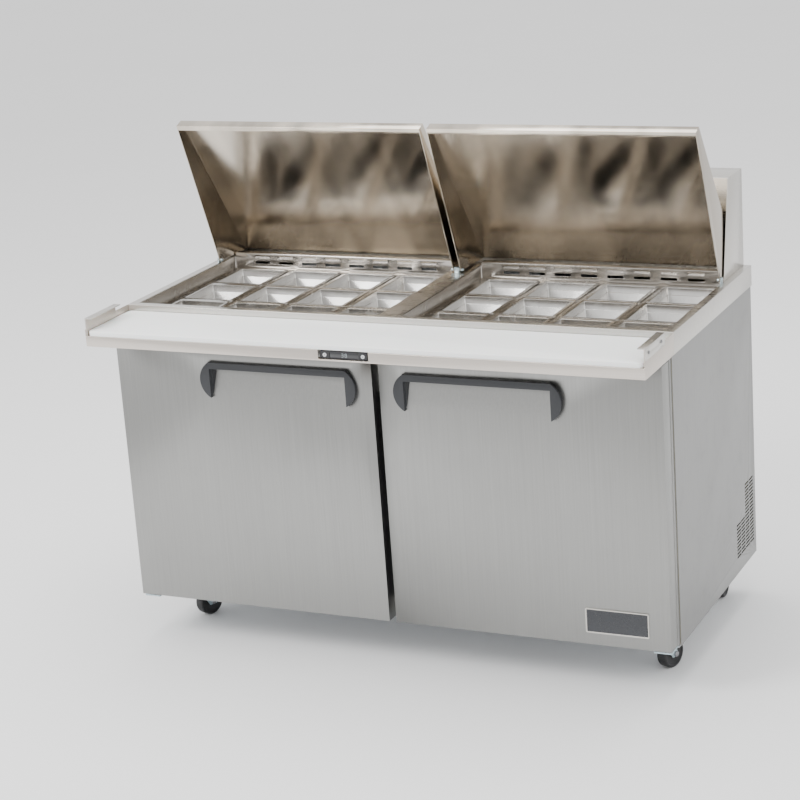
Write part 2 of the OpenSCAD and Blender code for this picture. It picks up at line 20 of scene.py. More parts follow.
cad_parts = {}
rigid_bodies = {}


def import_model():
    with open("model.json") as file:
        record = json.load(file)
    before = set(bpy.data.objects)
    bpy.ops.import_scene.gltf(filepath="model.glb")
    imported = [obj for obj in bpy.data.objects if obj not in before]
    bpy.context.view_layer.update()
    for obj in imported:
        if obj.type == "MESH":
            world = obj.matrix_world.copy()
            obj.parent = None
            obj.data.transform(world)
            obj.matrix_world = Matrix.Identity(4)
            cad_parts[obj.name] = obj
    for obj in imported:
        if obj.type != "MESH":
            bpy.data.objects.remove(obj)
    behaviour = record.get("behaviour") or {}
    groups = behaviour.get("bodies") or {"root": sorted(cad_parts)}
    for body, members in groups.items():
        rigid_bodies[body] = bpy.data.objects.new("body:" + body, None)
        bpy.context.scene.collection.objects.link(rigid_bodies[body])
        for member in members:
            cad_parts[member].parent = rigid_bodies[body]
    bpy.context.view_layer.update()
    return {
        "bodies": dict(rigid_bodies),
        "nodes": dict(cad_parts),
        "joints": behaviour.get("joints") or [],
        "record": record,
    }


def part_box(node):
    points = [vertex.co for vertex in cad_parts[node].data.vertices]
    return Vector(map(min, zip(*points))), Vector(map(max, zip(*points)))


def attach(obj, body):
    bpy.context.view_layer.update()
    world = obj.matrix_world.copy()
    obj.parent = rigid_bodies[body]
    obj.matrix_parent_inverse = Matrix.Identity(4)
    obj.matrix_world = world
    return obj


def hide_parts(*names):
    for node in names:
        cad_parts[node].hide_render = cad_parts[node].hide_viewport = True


LOG = logging.getLogger("prep_table")
Triple = tuple[float, float, float]
MM = 0.001
SIDES = {"left": -1.0, "right": 1.0}
MADE: dict[str, bpy.types.Material] = {}


class Grain(Enum):
    """The direction that a sheet's brush marks run in, as a stretch of the pattern's scale."""

    ALONG_X = (1.0, 90.0, 90.0)
    ALONG_Z = (90.0, 90.0, 1.0)


class Link:
    """A socket in a shader, with the operators that its maths uses."""

    def __init__(self, nodes: Nodes, socket: bpy.types.NodeSocket) -> None:
        """Wraps socket, which belongs to nodes."""
        self.nodes = nodes
        self.socket = socket

    def __add__(self, other: Link | float) -> Link:
        """Adds two values."""
        return self.nodes.maths("ADD", self, other)

    def __sub__(self, other: Link | float) -> Link:
        """Takes one value from another."""
        return self.nodes.maths("SUBTRACT", self, other)

    def __rsub__(self, other: Link | float) -> Link:
        """Takes this value from a number."""
        return self.nodes.maths("SUBTRACT", other, self)

    def __mul__(self, other: Link | float) -> Link:
        """Multiplies two values."""
        return self.nodes.maths("MULTIPLY", self, other)

    __radd__ = __add__
    __rmul__ = __mul__


class Nodes:
    """One material under construction."""

    def __init__(self, name: str) -> None:
        """Starts a material called name with an empty principled shader.

        Args:
            name: The material's name.
        """
        self.material = bpy.data.materials.new(name)
        self.material.use_nodes = True
        self.tree = self.material.node_tree
        self.shader = next(n for n in self.tree.nodes if n.type == "BSDF_PRINCIPLED")
        self.place = self.add("ShaderNodeTexCoord", output="Object")

    def add(self, kind: str, settings: dict | None = None, inputs: dict | None = None,
            output: str | int = 0) -> Link:
        """Adds a node.

        Args:
            kind: The node's Blender type.
            settings: Properties that are set before its sockets.
            inputs: Values or links, by socket name or number.
            output: The socket to return.

        Returns:
            The chosen output.
        """
        node = self.tree.nodes.new(kind)
        for key, value in (settings or {}).items():
            setattr(node, key, value)
        for key, value in (inputs or {}).items():
            self.feed(node.inputs[key], value)
        return Link(self, node.outputs[output])

    def feed(self, socket: bpy.types.NodeSocket, value: Link | float | Sequence[float]) -> None:
        """Links or sets one input socket.

        Args:
            socket: The input to fill.
            value: A link, a number or a colour.
        """
        if isinstance(value, Link):
            self.tree.links.new(value.socket, socket)
        else:
            socket.default_value = value

    def maths(self, operation: str, a: Link | float, b: Link | float) -> Link:
        """Adds a Math node for a named operation on two values."""
        return self.add("ShaderNodeMath", {"operation": operation}, {0: a, 1: b})

    def noise(self, stretch: Triple, scale: float, detail: float = 3.0, rough: float = 0.55) -> Link:
        """A noise value from 0 to 1.

        Args:
            stretch: Scale along each axis.
            scale: Scale of the noise, in lumps a metre.
            detail: Octaves.
            rough: How strong the finer octaves are.

        Returns:
            The noise value.
        """
        where = self.add("ShaderNodeMapping", inputs={"Vector": self.place, "Scale": stretch})
        return self.add("ShaderNodeTexNoise", inputs={
            "Vector": where, "Scale": scale, "Detail": detail, "Roughness": rough})

    def cells(self, stretch: Triple, scale: float, feature: str = "F1") -> Link:
        """The distance inside Voronoi cells, stretched along each axis.

        Args:
            stretch: Scale along each axis.
            scale: Cells a metre.
            feature: The Voronoi feature.

        Returns:
            The distance value.
        """
        where = self.add("ShaderNodeMapping", inputs={"Vector": self.place, "Scale": stretch})
        return self.add("ShaderNodeTexVoronoi", {"feature": feature}, {"Vector": where, "Scale": scale},
                        "Distance")

    def span(self, value: Link, low: float, high: float, to_low: float = 0.0, to_high: float = 1.0) -> Link:
        """Maps a value's range to another range and clamps it."""
        return self.add("ShaderNodeMapRange", {"clamp": True}, {
            "Value": value, "From Min": low, "From Max": high, "To Min": to_low, "To Max": to_high})

    def mix(self, factor: Link | float, a: Link | Sequence[float], b: Link | Sequence[float]) -> Link:
        """Mixes two colours.

        Args:
            factor: 0 gives the first colour and 1 the second.
            a: The first colour.
            b: The second colour.

        Returns:
            The mixed colour.
        """
        pair = [(*c, 1.0) if isinstance(c, tuple) and len(c) == 3 else c for c in (a, b)]
        return self.add("ShaderNodeMix", {"data_type": "RGBA"},
                        {"Factor": factor, 6: pair[0], 7: pair[1]}, 2)

    def bump(self, height: Link, distance: float, strength: float = 1.0) -> Link:
        """A normal pushed by a height."""
        return self.add("ShaderNodeBump", inputs={
            "Height": height, "Distance": distance, "Strength": strength})

    def set(self, **values: Link | float | Sequence[float]) -> None:
        """Feeds the principled shader; an underscore in a name stands for a space."""
        for key, value in values.items():
            self.feed(self.shader.inputs[key.replace("_", " ")], value)


@dataclass(frozen=True)
class Finish:
    """What every finish has: a name, a base colour and a roughness."""

    name: str
    colour: Triple
    roughness: float

    def material(self) -> bpy.types.Material:
        """Returns the finish's material, made once.

        Returns:
            The Blender material.
        """
        if self.name not in MADE:
            nodes = Nodes(self.name)
            self.paint(nodes)
            MADE[self.name] = nodes.material
        return MADE[self.name]

    def paint(self, nodes: Nodes) -> None:
        """Fills the material in; each finish has its own way."""
        raise NotImplementedError

    def shade(self, factor: float) -> Triple:
        """The base colour made darker or lighter."""
        return tuple(min(1.0, c * factor) for c in self.colour)


@dataclass(frozen=True)
class Brushed(Finish):
    """Brushed stainless steel: long fine scratches, faint wiping marks and a few handling smudges."""

    grain: Grain = Grain.ALONG_X
    scratch: float = 0.00003
    spread: float = 0.0
    smudge: float = 0.10

    def paint(self, nodes: Nodes) -> None:
        """Stretched noise drives roughness and bump; broad noise shades the sheet.

        Args:
            nodes: The material being filled in.
        """
        fine = nodes.noise(self.grain.value, 14.0, 4.0, 0.7)
        coarse = nodes.noise(tuple(0.45 * v for v in self.grain.value), 5.0, 3.0)
        wipe = nodes.span(nodes.noise((1.0, 1.0, 1.0), 2.2, 4.0), 0.3, 0.7)
        spots = nodes.span(nodes.noise((1.0, 1.0, 1.0), 17.0, 5.0, 0.62), 0.52, 0.74)
        tone = nodes.span(0.6 * fine + 0.4 * coarse, 0.35, 0.65)
        sheet = nodes.mix(tone, self.shade(0.91), self.shade(1.05))
        nodes.set(
            Base_Color=nodes.mix(0.35 * wipe, sheet, (*self.shade(0.93), 1.0)),
            Roughness=self.roughness + 0.10 * (fine - 0.5) + self.smudge * spots * 0.5 + 0.05 * wipe,
            Metallic=1.0,
            Anisotropic=self.spread,
            Normal=nodes.bump(fine, self.scratch, 0.35),
        )


@dataclass(frozen=True)
class Mirrored(Brushed):
    """Bright-rolled stainless steel: near-mirror gloss in soft bands that run up the sheet."""

    band: float = 9.0
    depth: float = 0.30

    def paint(self, nodes: Nodes) -> None:
        """Broad noise across the width makes darker and lighter bands with their own gloss.

        Args:
            nodes: The material being filled in.
        """
        bands = nodes.span(nodes.noise((self.band, 0.35, 0.35), 1.0, 2.0, 0.4), 0.36, 0.64)
        fine = nodes.noise(self.grain.value, 14.0, 4.0, 0.7)
        smear = nodes.span(nodes.noise((1.0, 1.0, 1.0), 6.0, 5.0, 0.6), 0.45, 0.75)
        warm = nodes.mix(bands, self.shade(1.0 - self.depth), self.shade(1.0 + self.depth))
        nodes.set(
            Base_Color=nodes.mix(0.25 * fine, warm, (*self.shade(1.15), 1.0)),
            Roughness=self.roughness + 0.06 * bands + 0.07 * smear + 0.05 * (fine - 0.5),
            Metallic=1.0,
            Normal=nodes.bump(fine, self.scratch, 0.3),
        )


@dataclass(frozen=True)
class Plated(Finish):
    """Zinc plate or galvanising: a metal with a crystal mottle."""

    crystal: float = 260.0
    contrast: float = 0.18

    def paint(self, nodes: Nodes) -> None:
        """Voronoi cells shade the plate and change its gloss.

        Args:
            nodes: The material being filled in.
        """
        cells = nodes.span(nodes.cells((1.0, 1.0, 1.0), self.crystal), 0.0, 0.9)
        cloud = nodes.noise((1.0, 1.0, 1.0), 30.0, 4.0)
        tone = nodes.span(cells + cloud - 0.5, 0.0, 1.0)
        nodes.set(
            Base_Color=nodes.mix(tone, self.shade(1.0 - self.contrast), self.shade(1.0 + self.contrast)),
            Roughness=self.roughness + 0.16 * (cells - 0.5) + 0.1 * (cloud - 0.5),
            Metallic=1.0,
            Normal=nodes.bump(cells, 0.00005, 0.3),
        )


@dataclass(frozen=True)
class Moulded(Finish):
    """Moulded plastic, rubber or enamel with a leather-like spark grain and scuffs."""

    grain: float = 900.0
    depth: float = 0.00006
    scuff: float = 0.12
    clear: float = 0.0

    def paint(self, nodes: Nodes) -> None:
        """Fine noise gives the grain; broad noise gives rubbed patches.

        Args:
            nodes: The material being filled in.
        """
        grain = nodes.noise((1.0, 1.0, 1.0), self.grain, 2.0)
        rub = nodes.span(nodes.noise((1.0, 1.0, 1.0), 38.0, 5.0, 0.65), 0.45, 0.72)
        nodes.set(
            Base_Color=nodes.mix(rub, self.shade(0.94), self.shade(1.12)),
            Roughness=self.roughness + self.scuff * (rub - 0.4) + 0.08 * (grain - 0.5),
            Coat_Weight=self.clear,
            Normal=nodes.bump(grain, self.depth, 0.5),
        )


@dataclass(frozen=True)
class BoardPlastic(Finish):
    """White polyethylene that knives have marked: short fine cuts across and along, slightly soiled."""

    def paint(self, nodes: Nodes) -> None:
        """Thresholded stretched noise makes the cuts.

        Args:
            nodes: The material being filled in.
        """
        across = nodes.span(nodes.noise((9.0, 150.0, 9.0), 1.0, 4.0, 0.7), 0.66, 0.72)
        along = nodes.span(nodes.noise((120.0, 14.0, 9.0), 1.1, 4.0, 0.7), 0.67, 0.73)
        cuts = nodes.maths("MAXIMUM", across, along)
        soil = nodes.span(nodes.noise((1.0, 1.0, 1.0), 5.0, 5.0), 0.35, 0.8)
        clean = nodes.mix(soil, self.shade(1.0), self.shade(0.965))
        grain = nodes.noise((1.0, 1.0, 1.0), 700.0, 2.0)
        nodes.set(
            Base_Color=nodes.mix(0.35 * cuts, clean, (*self.shade(0.86), 1.0)),
            Roughness=self.roughness + 0.12 * cuts + 0.07 * (grain - 0.5),
            Subsurface_Weight=0.08,
            Normal=nodes.bump(0.25 * grain - cuts, 0.00012, 0.4),
        )


@dataclass(frozen=True)
class Stucco(Finish):
    """Embossed aluminium liner sheet."""

    def paint(self, nodes: Nodes) -> None:
        """Rounded cells stand up from the sheet.

        Args:
            nodes: The material being filled in.
        """
        lumps = nodes.cells((1.0, 1.0, 1.0), 130.0, "SMOOTH_F1")
        cloud = nodes.noise((1.0, 1.0, 1.0), 9.0, 4.0)
        nodes.set(
            Base_Color=nodes.mix(cloud, self.shade(0.94), self.shade(1.04)),
            Roughness=self.roughness + 0.15 * (cloud - 0.5),
            Metallic=1.0,
            Normal=nodes.bump(lumps, 0.0008, 0.6),
        )


@dataclass(frozen=True)
class Foamed(Finish):
    """Cut rigid foam: open cells and a slight yellow mottle."""

    def paint(self, nodes: Nodes) -> None:
        """Small cells pit the surface.

        Args:
            nodes: The material being filled in.
        """
        cells = nodes.cells((1.0, 1.0, 1.0), 420.0)
        cloud = nodes.noise((1.0, 1.0, 1.0), 12.0, 4.0)
        nodes.set(
            Base_Color=nodes.mix(cloud, self.shade(0.88), self.shade(1.06)),
            Roughness=self.roughness + 0.1 * (cloud - 0.5),
            Normal=nodes.bump(cells, 0.0006, 0.7),
        )


@dataclass(frozen=True)
class Lit(Finish):
    """A lit display segment."""

    power: float = 2.0

    def paint(self, nodes: Nodes) -> None:
        """A faint unevenness keeps the light from looking flat.

        Args:
            nodes: The material being filled in.
        """
        glow = nodes.span(nodes.noise((1.0, 1.0, 1.0), 300.0, 2.0), 0.2, 0.8)
        nodes.set(
            Base_Color=nodes.mix(glow, self.shade(0.8), self.shade(1.0)),
            Emission_Color=nodes.mix(glow, self.shade(0.7), self.shade(1.0)),
            Emission_Strength=self.power,
            Roughness=self.roughness + 0.05 * glow,
        )


PANEL = Brushed("door_steel", (0.320, 0.320, 0.311), 0.32, Grain.ALONG_Z, spread=0.35)
SIDE = Brushed("side_steel", (0.29, 0.29, 0.287), 0.35, Grain.ALONG_Z, spread=0.35)
TOP = Brushed("top_steel", (0.62, 0.60, 0.565), 0.25, Grain.ALONG_X)
LID = Mirrored("lid_steel", (0.62, 0.56, 0.48), 0.13, Grain.ALONG_X, scratch=0.00002)
WELL = Brushed("well_steel", (0.55, 0.52, 0.48), 0.22, Grain.ALONG_X)
STRIP = Brushed("strip_steel", (0.64, 0.585, 0.53), 0.27, Grain.ALONG_X, spread=0.5)
PAN = Brushed("pan_steel", (0.60, 0.59, 0.57), 0.18, Grain.ALONG_Z, scratch=0.00002, smudge=0.2)
ZINC = Plated("bright_zinc", (0.50, 0.60, 0.64), 0.30)
GALVANISED = Plated("galvanised_sheet", (0.52, 0.54, 0.56), 0.42, crystal=48.0, contrast=0.12)
SCREW = Plated("screw_steel", (0.30, 0.30, 0.31), 0.33, crystal=600.0)
FINS = Plated("fin_aluminium", (0.66, 0.67, 0.68), 0.36, crystal=340.0, contrast=0.08)
HANDLE = Moulded("handle_plastic", (0.018, 0.020, 0.024), 0.44)
CASE = Moulded("case_plastic", (0.018, 0.018, 0.020), 0.42)
TYRE = Moulded("wheel_rubber", (0.012, 0.012, 0.013), 0.55, grain=500.0, scuff=0.25)
GASKET = Moulded("gasket_rubber", (0.020, 0.021, 0.023), 0.6, grain=1200.0)
KEY = Moulded("key_plastic", (0.62, 0.64, 0.66), 0.35, clear=0.3)
ENAMEL = Moulded("black_enamel", (0.012, 0.012, 0.012), 0.28, grain=220.0, depth=0.0001, clear=0.4)
COATED_WIRE = Moulded("coated_wire", (0.74, 0.75, 0.75), 0.38, grain=500.0, clear=0.3)
WINDOW = Moulded("display_window", (0.010, 0.011, 0.013), 0.14, grain=300.0, depth=0.00001, clear=0.8)
BADGE_FACE = Moulded("badge_enamel", (0.010, 0.012, 0.017), 0.3, grain=500.0, clear=0.5)
BOARD = BoardPlastic("board_polyethylene", (0.93, 0.93, 0.915), 0.42)
LINER = Stucco("liner_stucco", (0.72, 0.73, 0.74), 0.38)
FOAM = Foamed("rigid_foam", (0.62, 0.52, 0.28), 0.85)
DIGIT = Lit("display_digit", (0.30, 0.34, 0.36), 0.3, power=0.4)


def pick_nothing() -> None:
    """Deselects every object, so that an operator acts only on the piece in hand."""
    bpy.ops.object.select_all(action="DESELECT")


def activate(piece: bpy.types.Object) -> None:
    """Makes piece the only selected and active object.

    Args:
        piece: The object to work on.
    """
    pick_nothing()
    piece.select_set(True)
    bpy.context.view_layer.objects.active = piece


class Edit:
    """Edit mode on one piece, entered and left with a with statement."""

    def __init__(self, piece: bpy.types.Object, mode: str = "FACE") -> None:
        """Takes the piece and the kind of element to select."""
        self.piece = piece
        self.mode = mode

    def __enter__(self) -> Edit:
        """Enters edit mode with nothing selected.

        Returns:
            This object, for its selection methods.
        """
        activate(self.piece)
        bpy.ops.object.mode_set(mode="EDIT")
        bpy.ops.mesh.select_mode(type=self.mode)
        bpy.ops.mesh.select_all(action="DESELECT")
        return self

    def __exit__(self, *_: object) -> None:
        """Goes back to object mode."""
        bpy.ops.object.mode_set(mode="OBJECT")

    def faces(self, test: Callable[[bmesh.types.BMFace], bool]) -> Edit:
        """Selects the faces that pass a test.

        Args:
            test: Says whether a face is selected.

        Returns:
            This object.
        """
        mesh = bmesh.from_edit_mesh(self.piece.data)
        for face in mesh.faces:
            face.select_set(bool(test(face)))
        mesh.select_flush_mode()
        bmesh.update_edit_mesh(self.piece.data)
        return self

    def edges(self, test: Callable[[Vector, Vector], bool]) -> Edit:
        """Selects the edges whose two ends pass a test.

        Args:
            test: Says whether an edge with these two ends is selected.

        Returns:
            This object.
        """
        mesh = bmesh.from_edit_mesh(self.piece.data)
        for edge in mesh.edges:
            edge.select_set(bool(test(edge.verts[0].co, edge.verts[1].co)))
        mesh.select_flush_mode()
        bmesh.update_edit_mesh(self.piece.data)
        return self


def bake_place(piece: bpy.types.Object) -> None:
    """Moves the object's place, turn and size into its mesh."""
    activate(piece)
    bpy.ops.object.transform_apply(location=True, rotation=True, scale=True)


def add_block(name: str, low: Vector, high: Vector) -> bpy.types.Object:
    """Adds a cube between two corners, as the start of a piece.

    Args:
        name: The object's name.
        low: Its lowest corner.
        high: Its highest corner.

    Returns:
        The block, with its place in its mesh.
    """
    pick_nothing()
    bpy.ops.mesh.primitive_cube_add(size=1.0, location=(low + high) / 2)
    piece = bpy.context.object
    piece.name = name
    piece.scale = high - low
    bake_place(piece)
    return piece


def add_disc(name: str, centre: Vector, radius: float, depth: float, turn: Triple = (0, 0, 0),
             vertices: int = 32) -> bpy.types.Object:
    """Adds a cylinder, as the start of a turned piece.

    Args:
        name: The object's name.
        centre: Its middle.
        radius: Its radius.
        depth: Its length along its axis.
        turn: Its turn about X, Y and Z, in radians.
        vertices: Corners round the rim.

    Returns:
        The cylinder, with its place in its mesh.
    """
    pick_nothing()
    bpy.ops.mesh.primitive_cylinder_add(vertices=vertices, radius=radius, depth=depth,
                                        location=centre, rotation=turn)
    piece = bpy.context.object
    piece.name = name
    bake_place(piece)
    return piece


def round_edges(piece: bpy.types.Object, radius: float, segments: int = 2, angle: float = 35.0) -> None:
    """Bevels the sharp edges with an applied modifier, and smooths the shading.

    Args:
        piece: The object to finish.
        radius: Width of the rounding.
        segments: Faces round each edge.
        angle: The sharpest angle left alone, in degrees.
    """
    activate(piece)
    bevel = piece.modifiers.new("round", "BEVEL")
    bevel.width = radius
    bevel.segments = segments
    bevel.limit_method = "ANGLE"
    bevel.angle_limit = math.radians(angle)
    bpy.ops.object.modifier_apply(modifier=bevel.name)
    bpy.ops.object.shade_smooth_by_angle(angle=math.radians(40.0))


def thicken(piece: bpy.types.Object, wall: float, offset: float = -1.0) -> None:
    """Gives an open skin a wall with an applied modifier.

    Args:
        piece: The open skin.
        wall: Its thickness.
        offset: -1 puts the wall inside the skin, and 1 outside.
    """
    activate(piece)
    solid = piece.modifiers.new("wall", "SOLIDIFY")
    solid.thickness = wall
    solid.offset = offset
    solid.use_even_offset = True
    bpy.ops.object.modifier_apply(modifier=solid.name)


def join(name: str, parts: Sequence[bpy.types.Object]) -> bpy.types.Object:
    """Joins several objects into one piece.

    Args:
        name: The new piece's name.
        parts: The objects to join.

    Returns:
        The joined piece.
    """
    activate(parts[0])
    for part in parts:
        part.select_set(True)
    bpy.ops.object.join()
    piece = bpy.context.object
    piece.name = name
    piece.data.name = name
    return piece


def copy_to(source: bpy.types.Object, name: str, matrix: Matrix) -> bpy.types.Object:
    """Copies a piece with a mesh of its own, and bakes a placement into it.

    Args:
        source: The object to copy.
        name: The copy's name.
        matrix: The placement baked into its mesh.

    Returns:
        The copy.
    """
    piece = source.copy()
    piece.data = source.data.copy()
    piece.name = name
    bpy.context.scene.collection.objects.link(piece)
    piece.data.transform(matrix)
    if matrix.determinant() < 0:
        piece.data.flip_normals()
    return piece


@dataclass
class Workshop:
    """Knows the frame: which body carries a node, and which finish slot it has."""

    frame: dict
    body_of: dict[str, str] = field(default_factory=dict)
    slot_of: dict[str, str] = field(default_factory=dict)

    def __post_init__(self) -> None:
        """Reads the bodies and slots from the record."""
        record = self.frame["record"]
        for body, members in record["behaviour"]["bodies"].items():
            for node in members:
                self.body_of[node] = body
        for entry in record["subparts"]:
            self.slot_of[entry["node"]] = entry["material_slot"]

    def paint(self, node: str, finish: Finish) -> None:
        """Gives a carried-over frame part its finish.

        Args:
            node: The frame part.
            finish: Its material.
        """
        mesh = self.frame["nodes"][node].data
        mesh.materials.clear()
        mesh.materials.append(finish.material())

    def carry(self, piece: bpy.types.Object, node: str, finish: Finish, *stands_for: str) -> None:
        """Dresses a new piece and puts it on a node's body.

        Args:
            piece: The finished mesh.
            node: The frame node that gives it its body.
            finish: Its material.
            stands_for: Frame nodes that the piece replaces.
        """
        piece.data.materials.clear()
        piece.data.materials.append(finish.material())
        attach(piece, self.body_of[node])
        if stands_for:
            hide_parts(*stands_for)
        LOG.info("%s: %d faces on %s", piece.name, len(piece.data.polygons), self.body_of[node])

    def form(self, node: str, finish: Finish, radius: float, segments: int = 2) -> bpy.types.Object:
        """Makes the finished copy of a frame part: welded, planar faces cleaned, edges rounded.

        Args:
            node: The frame part.
            finish: Its material.
            radius: The radius of its folds and edges, in metres.
            segments: Faces round each edge.

        Returns:
            The piece, which stands for the frame part.
        """
        source = self.frame["nodes"][node]
        piece = bpy.data.objects.new(node + "_formed", source.data.copy())
        bpy.context.scene.collection.objects.link(piece)
        with Edit(piece, "VERT"):
            bpy.ops.mesh.select_all(action="SELECT")
            bpy.ops.mesh.remove_doubles(threshold=1e-5)
            bpy.ops.mesh.dissolve_limited(angle_limit=math.radians(0.6))
        round_edges(piece, radius, segments)
        self.carry(piece, node, finish, node)
        return piece


@dataclass
class Cabinet:
    """The insulated box, its panels and its face frame."""

    shop: Workshop
    sheet_fold: float = 0.7 * MM
    # Width of the dark bead that paints the shadow in the frame-to-panel gap.
    shade_bead_w: float = 5 * MM

    def build(self) -> None:
        """Makes the panels and dresses the inner parts."""
        # Each side gets a dark bead in the frame-to-panel gap, as painted shade for the shadow there.
        for side, sign in SIDES.items():
            self.shade_bead(side, sign)
        for node in ("side_panel_left", "side_panel_right"):
            self.shop.form(node, SIDE, self.sheet_fold, 1)
        for node in ("back_panel", "base_panel"):
            self.shop.form(node, GALVANISED, self.sheet_fold, 1)
        self.shop.form("front_frame", PANEL, 1.2 * MM)
        self.shop.form("mullion", CASE, 1.5 * MM)
        self.shop.form("cabinet_liner", LINER, 0.8 * MM)
        self.shop.paint("foam_insulation", FOAM)
        self.shop.form("cord_gland", CASE, 0.5 * MM)

    def shade_bead(self, side: str, sign: float) -> None:
        """A dark rubber bead in the groove between the face frame and a side panel: painted shade, standing
        in for the shadow that falls in that gap.

        Args:
            side: left or right.
            sign: -1 on the left and 1 on the right.
        """
        panel_low, panel_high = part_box(f"side_panel_{side}")
        frame_low, frame_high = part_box("front_frame")
        inner = min(abs(panel_low.x), abs(panel_high.x))
        ends = sorted((sign * (inner - self.shade_bead_w), sign * (inner - 0.2 * MM)))
        # The bead's dark rubber is painted shade: it stands in for the shadow in this gap.
        bead = add_block(f"panel_shade_bead_{side}",
                         Vector((ends[0], panel_low.y - 3.8 * MM, frame_low.z + 5 * MM)),
                         Vector((ends[1], panel_low.y - 1.2 * MM, frame_high.z - 1 * MM)))
        with Edit(bead) as edit:
            edit.faces(lambda f: f.normal.x * sign > 0.9)
            bpy.ops.mesh.inset(thickness=0.5 * MM, depth=0)
            bpy.ops.mesh.inset(thickness=0.3 * MM, depth=-0.4 * MM)
        round_edges(bead, 0.25 * MM)
        self.shop.carry(bead, "front_frame", GASKET)


@dataclass
class Worktop:
    """The pressed top, the shelf and its brackets, and the cutting board."""

    shop: Workshop
    board_corner: float = 14 * MM
    board_edge: float = 1.6 * MM
    screw_head: float = 4.5 * MM
    screw_h: float = 1.5 * MM

    def build(self) -> None:
        """Makes the sheet parts and then the board and screws."""
        self.shop.form("worktop", TOP, 0.9 * MM, 3)
        self.shop.form("front_shelf", STRIP, 0.9 * MM, 3)
        self.shop.form("shelf_brackets", TOP, 0.8 * MM)
        self.shop.form("rear_cowl", TOP, 0.9 * MM)
        self.board()
        self.screws()

    def board(self) -> None:
        """A slab with rounded corners and eased edges."""
        low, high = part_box("cutting_board")
        piece = add_block("board_slab", low, high)
        with Edit(piece, "EDGE") as edit:
            edit.edges(lambda a, b: abs(a.z - b.z) > 1 * MM)
            bpy.ops.mesh.bevel(offset=self.board_corner, segments=6, affect="EDGES")
        round_edges(piece, self.board_edge, 3)
        self.shop.carry(piece, "cutting_board", BOARD, "cutting_board")

    def screws(self) -> None:
        """Flat round heads with rounded edges and a round recess, on the shelf's two ends."""
        low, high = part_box("bracket_screws")
        heads = []
        for sign in SIDES.values():
            for y in (low.y + self.screw_head, high.y - self.screw_head):
                centre = Vector((sign * (high.x - self.screw_h / 2), y, (low.z + high.z) / 2))
                head = add_disc("head", centre, self.screw_head, self.screw_h, (0, math.pi / 2, 0), 24)
                outer = sign * high.x
                with Edit(head) as edit:
                    edit.faces(lambda f: abs(f.calc_center_median().x - outer) < 0.1 * MM)
                    bpy.ops.mesh.inset(thickness=2.2 * MM, depth=0)
                    bpy.ops.mesh.inset(thickness=0.2 * MM, depth=-1.0 * MM)
                round_edges(head, 0.5 * MM)
                heads.append(head)
        piece = join("bracket_screw_heads", heads)
        self.shop.carry(piece, "bracket_screws", SCREW, "bracket_screws")


